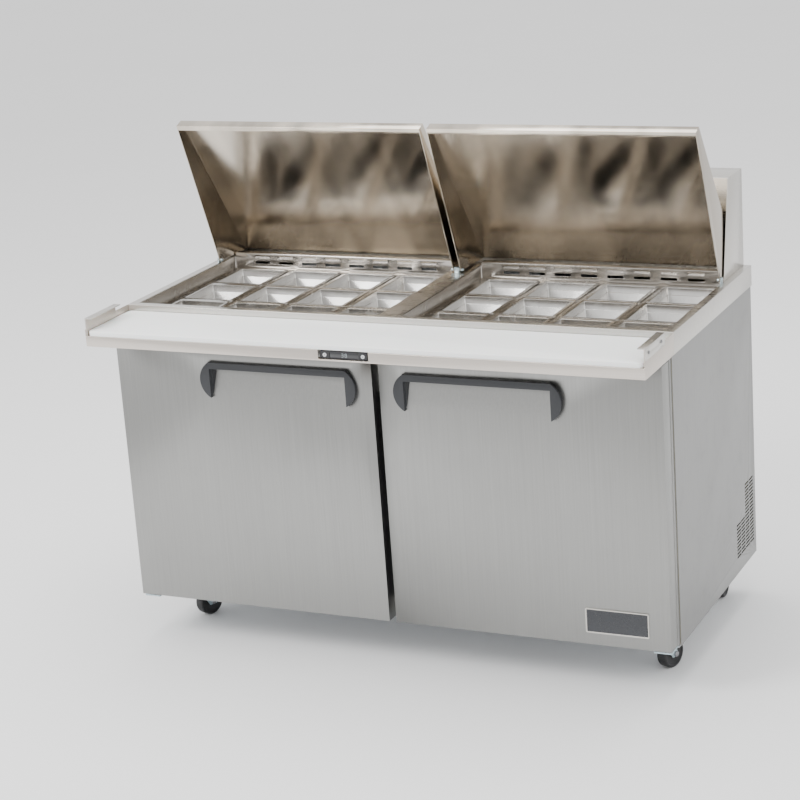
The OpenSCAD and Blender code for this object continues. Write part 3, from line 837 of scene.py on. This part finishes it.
@dataclass
class Wells:
    """The two food wells with their slotted ducts, bars and stamped pans."""

    shop: Workshop
    columns: int = 4
    rows: int = 3
    pan_corner: float = 15 * MM
    rim: float = 10 * MM
    rim_drop: float = 1.4 * MM
    draft: float = 0.93
    steel: float = 0.9 * MM
    pan_w: float = 161 * MM
    pan_l: float = 175 * MM

    def build(self) -> None:
        """Makes both wells and their pans."""
        for side in SIDES:
            self.shop.form(f"well_{side}", WELL, 0.8 * MM)
            self.shop.form(f"air_duct_{side}", WELL, 0.6 * MM)
        self.shop.form("pan_bars", WELL, 1.5 * MM)
        for side in SIDES:
            self.pan_set(side)

    def pan(self, size_x: float, size_y: float, depth: float) -> bpy.types.Object:
        """One stamped pan, with its rim's top at z 0.

        Args:
            size_x: Width over the rim.
            size_y: Length over the rim.
            depth: Depth below the rim.

        Returns:
            The pan, centred on the origin.
        """
        pick_nothing()
        bpy.ops.mesh.primitive_plane_add(size=1.0)
        piece = bpy.context.object
        piece.scale = (size_x, size_y, 1.0)
        bake_place(piece)
        with Edit(piece, "VERT"):
            bpy.ops.mesh.select_all(action="SELECT")
            bpy.ops.mesh.bevel(offset=self.pan_corner, segments=5, affect="VERTICES")
            bpy.ops.mesh.select_mode(type="FACE")
            bpy.ops.mesh.select_all(action="SELECT")
            bpy.ops.mesh.inset(thickness=self.rim, depth=0.0)
            bpy.ops.mesh.inset(thickness=1.6 * MM, depth=-1.0 * MM)
            bpy.ops.mesh.inset(thickness=0.5 * MM, depth=-2.2 * MM)
            bpy.ops.mesh.extrude_region_move(
                TRANSFORM_OT_translate={"value": (0, 0, -0.18 * depth)})
            bpy.ops.mesh.inset(thickness=1.4 * MM, depth=-0.6 * MM)
            bpy.ops.mesh.extrude_region_move(
                TRANSFORM_OT_translate={"value": (0, 0, -0.72 * depth + 8 * MM)})
            bpy.ops.transform.resize(value=(self.draft, self.draft, 1.0))
            bpy.ops.mesh.inset(thickness=2.5 * MM, depth=-3.0 * MM)
            bpy.ops.mesh.inset(thickness=5.0 * MM, depth=-2.0 * MM)
        with Edit(piece, "EDGE") as edit:
            edit.edges(lambda a, b: abs(a.z) < 0.01 * MM and abs(b.z) < 0.01 * MM
                       and self.on_rim(a, size_x, size_y) and self.on_rim(b, size_x, size_y))
            bpy.ops.mesh.extrude_edges_move(TRANSFORM_OT_translate={"value": (0, 0, -self.rim_drop)})
        thicken(piece, self.steel)
        round_edges(piece, 0.35 * MM, 1, 50.0)
        return piece

    def on_rim(self, point: Vector, size_x: float, size_y: float) -> bool:
        """Says whether a point lies on the rounded outer edge of a pan's rim.

        Args:
            point: A corner of the pan's mesh.
            size_x: Width over the rim.
            size_y: Length over the rim.

        Returns:
            True on the outer edge.
        """
        reach_x = abs(point.x) - (size_x / 2 - self.pan_corner)
        reach_y = abs(point.y) - (size_y / 2 - self.pan_corner)
        if reach_x > 0 and reach_y > 0:
            return math.hypot(reach_x, reach_y) > self.pan_corner * 0.93
        return max(reach_x, reach_y) > self.pan_corner * 0.98

    def pan_set(self, side: str) -> None:
        """The pans of one well, copied from one pan and joined.

        Args:
            side: left or right.
        """
        low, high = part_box(f"pans_{side}")
        step_x = (high.x - low.x - self.pan_w) / (self.columns - 1)
        step_y = (high.y - low.y - self.pan_l) / (self.rows - 1)
        master = self.pan(self.pan_w, self.pan_l, high.z - low.z - 1 * MM)
        copies = []
        for column in range(self.columns):
            for row in range(self.rows):
                place = Matrix.Translation((low.x + self.pan_w / 2 + column * step_x,
                                            low.y + self.pan_l / 2 + row * step_y, high.z))
                copies.append(copy_to(master, "pan", place))
        bpy.data.objects.remove(master)
        piece = join(f"pan_set_{side}", copies)
        self.shop.carry(piece, f"pans_{side}", PAN, f"pans_{side}")


@dataclass
class Lids:
    """The two hood lids and their hinge brackets."""

    shop: Workshop

    def build(self) -> None:
        """Forms the hoods from the frame's sheet."""
        for side in SIDES:
            self.shop.form(f"lid_{side}", LID, 0.9 * MM, 3)
        self.shop.form("lid_hinges", ZINC, 0.6 * MM)


@dataclass
class Doors:
    """The two doors: skin, liner, gasket, grip trim; hinges; and the plain badge."""

    shop: Workshop
    badge_rim: float = 3 * MM

    def build(self) -> None:
        """Makes both doors, the hinges and the badge."""
        for side in SIDES:
            self.shop.form(f"door_{side}_skin", PANEL, 1.0 * MM, 3)
            self.shop.form(f"door_{side}_liner", LINER, 2.0 * MM)
            self.shop.form(f"door_{side}_gasket", GASKET, 2.6 * MM, 3)
            self.shop.form(f"door_{side}_handle", HANDLE, 2.4 * MM, 4)
        self.shop.form("door_hinges", ZINC, 0.8 * MM)
        self.badge()

    def badge(self) -> None:
        """A bright plate with a raised rim round a plain dark inlay."""
        low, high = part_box("door_badge")
        plate = add_block("badge_plate", low, high)
        with Edit(plate, "EDGE") as edit:
            edit.edges(lambda a, b: abs(a.y - b.y) > 1 * MM)
            bpy.ops.mesh.bevel(offset=4 * MM, segments=4, affect="EDGES")
        with Edit(plate) as edit:
            edit.faces(lambda f: f.normal.y < -0.9)
            bpy.ops.mesh.inset(thickness=self.badge_rim, depth=0)
            bpy.ops.mesh.inset(thickness=0.4 * MM, depth=-1.0 * MM)
        round_edges(plate, 0.4 * MM)
        self.shop.carry(plate, "door_badge", TOP, "door_badge")
        margin = self.badge_rim + 0.8 * MM
        inlay = add_block("badge_inlay", Vector((low.x + margin, low.y + 0.5 * MM, low.z + margin)),
                          Vector((high.x - margin, low.y + 1.4 * MM, high.z - margin)))
        with Edit(inlay) as edit:
            edit.faces(lambda f: f.normal.y < -0.9)
            bpy.ops.mesh.inset(thickness=3.0 * MM, depth=0)
            bpy.ops.mesh.inset(thickness=0.3 * MM, depth=-0.3 * MM)
        round_edges(inlay, 0.2 * MM)
        self.shop.carry(inlay, "door_badge", BADGE_FACE)


@dataclass
class Controls:
    """The controller in the front strip: case, window with two digits, and two keys."""

    shop: Workshop
    segment: float = 1.1 * MM
    digit_h: float = 9 * MM
    digit_w: float = 5 * MM

    def build(self) -> None:
        """Makes the case, the window, its digits and the keys."""
        self.shop.form("controller_case", CASE, 0.5 * MM)
        self.shop.form("display_window", WINDOW, 0.3 * MM)
        self.digits()
        for key, up in (("up", 1.0), ("down", -1.0)):
            self.key(key, up)

    def digits(self) -> None:
        """Seven-segment digits three and eight on the window."""
        low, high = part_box("display_window")
        middle = (low + high) / 2
        bars = {"top": (0, 1, True), "mid": (0, 0, True), "low": (0, -1, True), "ur": (1, 0.5, False),
                "lr": (1, -0.5, False), "ul": (-1, 0.5, False), "ll": (-1, -0.5, False)}
        shown = (("top", "mid", "low", "ur", "lr"), tuple(bars))
        parts = []
        for number, names in enumerate(shown):
            centre_x = middle.x + (number - 0.5) * self.digit_w * 1.9
            for name in names:
                across, up, flat = bars[name]
                half = Vector((self.digit_w * 0.4, 0, self.segment / 2)) if flat else Vector(
                    (self.segment / 2, 0, self.digit_h * 0.2))
                at = Vector((centre_x + across * self.digit_w / 2, low.y, middle.z + up * self.digit_h / 2))
                part = add_block("bar", at - half - Vector((0, 0.15 * MM, 0)),
                                 at + half + Vector((0, 0.05 * MM, 0)))
                round_edges(part, 0.15 * MM, 1)
                parts.append(part)
        piece = join("display_digits", parts)
        self.shop.carry(piece, "display_window", DIGIT)

    def key(self, name: str, up: float) -> None:
        """A round key with a raised arrow.

        Args:
            name: up or down.
            up: 1 for an arrow that points up, and -1 for down.
        """
        low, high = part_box(f"key_{name}")
        centre = (low + high) / 2
        cap = add_disc(f"key_{name}_cap", centre, (high.x - low.x) / 2, high.y - low.y,
                       (math.pi / 2, 0, 0), 40)
        round_edges(cap, 0.7 * MM, 3)
        pick_nothing()
        bpy.ops.mesh.primitive_cylinder_add(vertices=3, radius=2.2 * MM, depth=0.4 * MM,
                                            rotation=(math.pi / 2, 0, 0),
                                            location=(centre.x, low.y - 0.1 * MM, centre.z))
        arrow = bpy.context.object
        bake_place(arrow)
        if up < 0:
            arrow.data.transform(Matrix.Translation(centre) @ Matrix.Rotation(math.pi, 4, "Y")
                                 @ Matrix.Translation(-centre))
        arrow.name = f"key_{name}_arrow"
        round_edges(arrow, 0.1 * MM, 1)
        self.shop.carry(cap, f"key_{name}", KEY, f"key_{name}")
        self.shop.carry(arrow, f"key_{name}", CASE)


@dataclass
class Storage:
    """The wire shelves and their posts."""

    shop: Workshop

    def build(self) -> None:
        """Dresses the shelves and forms the posts."""
        self.shop.form("shelf_posts", ZINC, 0.5 * MM)
        for side in SIDES:
            self.shop.paint(f"shelf_{side}", COATED_WIRE)


@dataclass
class Cooling:
    """The refrigeration parts at the back."""

    shop: Workshop

    def build(self) -> None:
        """Dresses coils and forms the fans and the compressor."""
        self.shop.paint("evaporator_coil", FINS)
        self.shop.paint("condenser_coil", FINS)
        self.shop.form("evaporator_fan_frame", CASE, 0.6 * MM)
        self.shop.form("condenser_fan_shroud", ENAMEL, 0.6 * MM)
        for fan in ("evaporator", "condenser"):
            self.shop.form(f"{fan}_fan_blades", CASE, 0.4 * MM)
        self.shop.form("compressor", ENAMEL, 2.0 * MM, 3)


@dataclass
class Casters:
    """Four swivel casters: plates, forks, turned wheels and the front brake pedals."""

    shop: Workshop
    tread_round: float = 4 * MM
    hub: float = 12 * MM
    width: float = 28 * MM
    nut: float = 8 * MM
    nut_at: float = 20.5 * MM
    nut_l: float = 5 * MM
    bolt_x: float = 37 * MM
    bolt_y: float = 26 * MM
    bolt: float = 5.5 * MM
    bolt_h: float = 3.4 * MM
    plate: float = 3 * MM

    def build(self) -> None:
        """Makes each caster."""
        joints = {joint["name"]: joint for joint in self.shop.frame["joints"]}
        self.shop.form("caster_plates", ZINC, 0.8 * MM)
        for row in ("front", "rear"):
            for side in SIDES:
                place = f"{row}_{side}"
                roll = joints[f"wheel_{place}_roll"]
                turn = math.atan2(roll["axis"][1], roll["axis"][0])
                axle = Matrix.Translation(roll["pos_m"]) @ Matrix.Rotation(turn, 4, "Z")
                self.shop.form(f"caster_fork_{place}", ZINC, 0.7 * MM)
                self.wheel(place, axle)
                self.nuts(place, axle)
                self.bolts(place, Vector(joints[f"caster_{place}_swivel"]["pos_m"]))
        for side in SIDES:
            self.shop.form(f"caster_brake_{side}", ZINC, 1.2 * MM)

    def wheel(self, place: str, axle: Matrix) -> None:
        """A wheel with a crowned tread, dished sides and a hub.

        Args:
            place: Which caster, such as front_left.
            axle: The place and turn of the wheel's axle.
        """
        low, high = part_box(f"caster_wheel_{place}")
        radius = (high.z - low.z) / 2
        piece = add_disc(f"wheel_{place}", Vector(), radius, self.width, (0, math.pi / 2, 0), 64)
        with Edit(piece, "EDGE") as edit:
            edit.edges(lambda a, b: abs(a.x - b.x) < 0.1 * MM and math.hypot(a.y, a.z) > radius * 0.99)
            bpy.ops.mesh.bevel(offset=self.tread_round, segments=5, affect="EDGES")
        for sign in SIDES.values():
            face_x = sign * self.width / 2
            with Edit(piece) as edit:
                edit.faces(lambda f: abs(f.calc_center_median().x - face_x) < 0.1 * MM and len(f.verts) > 8)
                bpy.ops.mesh.inset(thickness=3.0 * MM, depth=0)
                bpy.ops.mesh.inset(thickness=1.0 * MM, depth=-2.5 * MM)
                bpy.ops.mesh.inset(thickness=radius - self.tread_round - 4 * MM - self.hub, depth=0)
                bpy.ops.mesh.inset(thickness=0.6 * MM, depth=2.6 * MM)
        round_edges(piece, 0.5 * MM, 2, 30.0)
        piece.data.transform(axle)
        self.shop.carry(piece, f"caster_wheel_{place}", TYRE, f"caster_wheel_{place}")

    def nuts(self, place: str, axle: Matrix) -> None:
        """A six-sided nut on each end of the axle.

        Args:
            place: Which caster, such as front_left.
            axle: The place and turn of the wheel's axle.
        """
        made = []
        for sign in SIDES.values():
            nut = add_disc("nut", Vector((sign * self.nut_at, 0, 0)), self.nut, self.nut_l,
                           (0, math.pi / 2, 0), 6)
            with Edit(nut) as edit:
                edit.faces(lambda f: abs(f.normal.x) > 0.9)
                bpy.ops.mesh.inset(thickness=2.4 * MM, depth=0)
                bpy.ops.mesh.inset(thickness=0.4 * MM, depth=0.8 * MM)
            round_edges(nut, 0.6 * MM)
            made.append(nut)
        piece = join(f"axle_nuts_{place}", made)
        piece.data.transform(axle)
        self.shop.carry(piece, f"caster_fork_{place}", SCREW)

    def bolts(self, place: str, pivot: Vector) -> None:
        """Four low bolt heads under the mounting plate.

        Args:
            place: Which caster, such as front_left.
            pivot: The swivel's place.
        """
        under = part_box("base_panel")[0].z - self.plate
        made = []
        for across in SIDES.values():
            for along in SIDES.values():
                centre = Vector((pivot.x + across * self.bolt_x, pivot.y + along * self.bolt_y,
                                 under - 1.5 * MM))
                bolt = add_disc("bolt", centre, self.bolt, self.bolt_h, (0, 0, 0), 6)
                with Edit(bolt) as edit:
                    edit.faces(lambda f: f.normal.z < -0.9)
                    bpy.ops.mesh.inset(thickness=1.2 * MM, depth=0.4 * MM)
                round_edges(bolt, 0.4 * MM)
                made.append(bolt)
        piece = join(f"plate_bolts_{place}", made)
        self.shop.carry(piece, "caster_plates", SCREW)


@dataclass
class Studio:
    """The floor, the soft lights and the camera."""

    eye: Triple = (2.396, -5.164, 2.380)
    azimuth: float = 25.66
    elevation: float = 16.96
    roll: float = -4.08
    lens: float = 100.3

    def build(self) -> None:
        """Sets the stage."""
        self.floor()
        self.lights()
        self.camera()

    def floor(self) -> None:
        """A wide pale sweep under the table."""
        pick_nothing()
        bpy.ops.mesh.primitive_plane_add(size=60.0, location=(0, 0, 0))
        plane = bpy.context.object
        plane.name = "studio_floor"
        nodes = Nodes("studio_floor")
        cloud = nodes.noise((1.0, 1.0, 1.0), 0.6, 3.0)
        nodes.set(Base_Color=nodes.mix(cloud, (0.86, 0.86, 0.86), (0.90, 0.90, 0.90)), Roughness=0.9)
        plane.data.materials.append(nodes.material)

    def lights(self) -> None:
        """A pale surround and three large soft lamps."""
        world = bpy.data.worlds.new("studio")
        world.use_nodes = True
        surround = world.node_tree.nodes["Background"]
        surround.inputs["Color"].default_value = (1.0, 1.0, 1.0, 1.0)
        surround.inputs["Strength"].default_value = 1.35
        bpy.context.scene.world = world
        for name, place, size, power in (("key", (-3.0, -3.5, 4.2), 2.4, 240.0),
                                         ("fill", (4.5, -2.0, 3.0), 3.0, 40.0),
                                         ("top", (0.0, 0.5, 5.0), 3.5, 160.0)):
            data = bpy.data.lights.new(name, "AREA")
            data.size = size
            data.energy = power
            lamp = bpy.data.objects.new(name, data)
            lamp.location = place
            lamp.rotation_euler = (Vector((0, 0, 0.7)) - Vector(place)).to_track_quat("-Z", "Y").to_euler()
            bpy.context.scene.collection.objects.link(lamp)

    def camera(self) -> None:
        """The camera, from its place and its three angles."""
        turn, tilt, roll = (math.radians(v) for v in (self.azimuth, self.elevation, self.roll))
        look = Vector((-math.sin(turn) * math.cos(tilt), math.cos(turn) * math.cos(tilt), -math.sin(tilt)))
        right = look.cross(Vector((0, 0, 1))).normalized()
        up = right.cross(look)
        right, up = (math.cos(roll) * right + math.sin(roll) * up,
                     math.cos(roll) * up - math.sin(roll) * right)
        data = bpy.data.cameras.new("camera")
        data.lens = self.lens
        data.sensor_width = 36.0
        camera = bpy.data.objects.new("camera", data)
        basis = Matrix((right, up, -look)).transposed().to_4x4()
        camera.matrix_world = Matrix.Translation(self.eye) @ basis
        bpy.context.scene.collection.objects.link(camera)
        bpy.context.scene.camera = camera


def main() -> None:
    """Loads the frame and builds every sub-assembly."""
    logging.basicConfig(level=logging.INFO, format="%(name)s: %(message)s")
    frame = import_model()
    pick_nothing()
    Studio().build()
    shop = Workshop(frame)
    for part in (Cabinet, Worktop, Wells, Lids, Doors, Controls, Storage, Cooling, Casters):
        part(shop).build()


if __name__ == "__main__":
    main()
